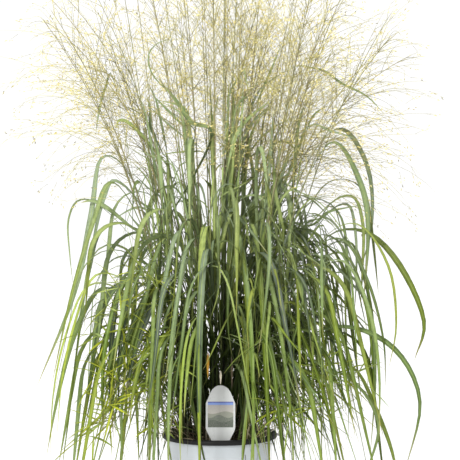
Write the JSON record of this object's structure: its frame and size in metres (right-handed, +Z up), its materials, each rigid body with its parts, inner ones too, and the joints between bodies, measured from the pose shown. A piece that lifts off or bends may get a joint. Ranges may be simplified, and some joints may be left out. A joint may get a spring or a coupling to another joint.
{
  "type": "potted switchgrass",
  "caption": "Flowering clump of arching grass in a round nursery pot, rooted in potting mix, with a plant tag at the front. Stands on a flat base.",
  "frame": {"origin": "centre of the pot's underside", "axes": "+Z up the plant, +X to the right and -Y towards the front, where the tag stands"},
  "size_m": [0.8745, 0.7756, 1.186],
  "materials": {
    "pot_plastic": "satin white outside, black lip and inside",
    "potting_mix": "dark crumbly bark mix",
    "tag_plastic": "smooth white plastic card",
    "grass": "satin living leaf, pale straw-coloured flower heads"
  },
  "bodies": {
    "root": {"pot": "pot_plastic", "potting_mix": "potting_mix", "plant_tag": "tag_plastic", "tiller_01": "grass", "tiller_02": "grass", "tiller_03": "grass", "tiller_04": "grass", "tiller_05": "grass", "tiller_06": "grass", "tiller_07": "grass", "tiller_08": "grass", "tiller_09": "grass", "tiller_10": "grass", "tiller_11": "grass", "tiller_12": "grass", "tiller_13": "grass", "tiller_14": "grass", "tiller_15": "grass", "tiller_16": "grass", "tiller_17": "grass", "tiller_18": "grass", "tiller_19": "grass", "tiller_20": "grass", "tiller_21": "grass", "tiller_22": "grass", "tiller_23": "grass", "tiller_24": "grass", "tiller_25": "grass", "tiller_26": "grass", "tiller_27": "grass", "tiller_28": "grass", "tiller_29": "grass", "tiller_30": "grass", "tiller_31": "grass", "tiller_32": "grass", "tiller_33": "grass", "tiller_34": "grass", "tiller_35": "grass", "tiller_36": "grass", "tiller_37": "grass", "tiller_38": "grass"}
  },
  "joints": []
}
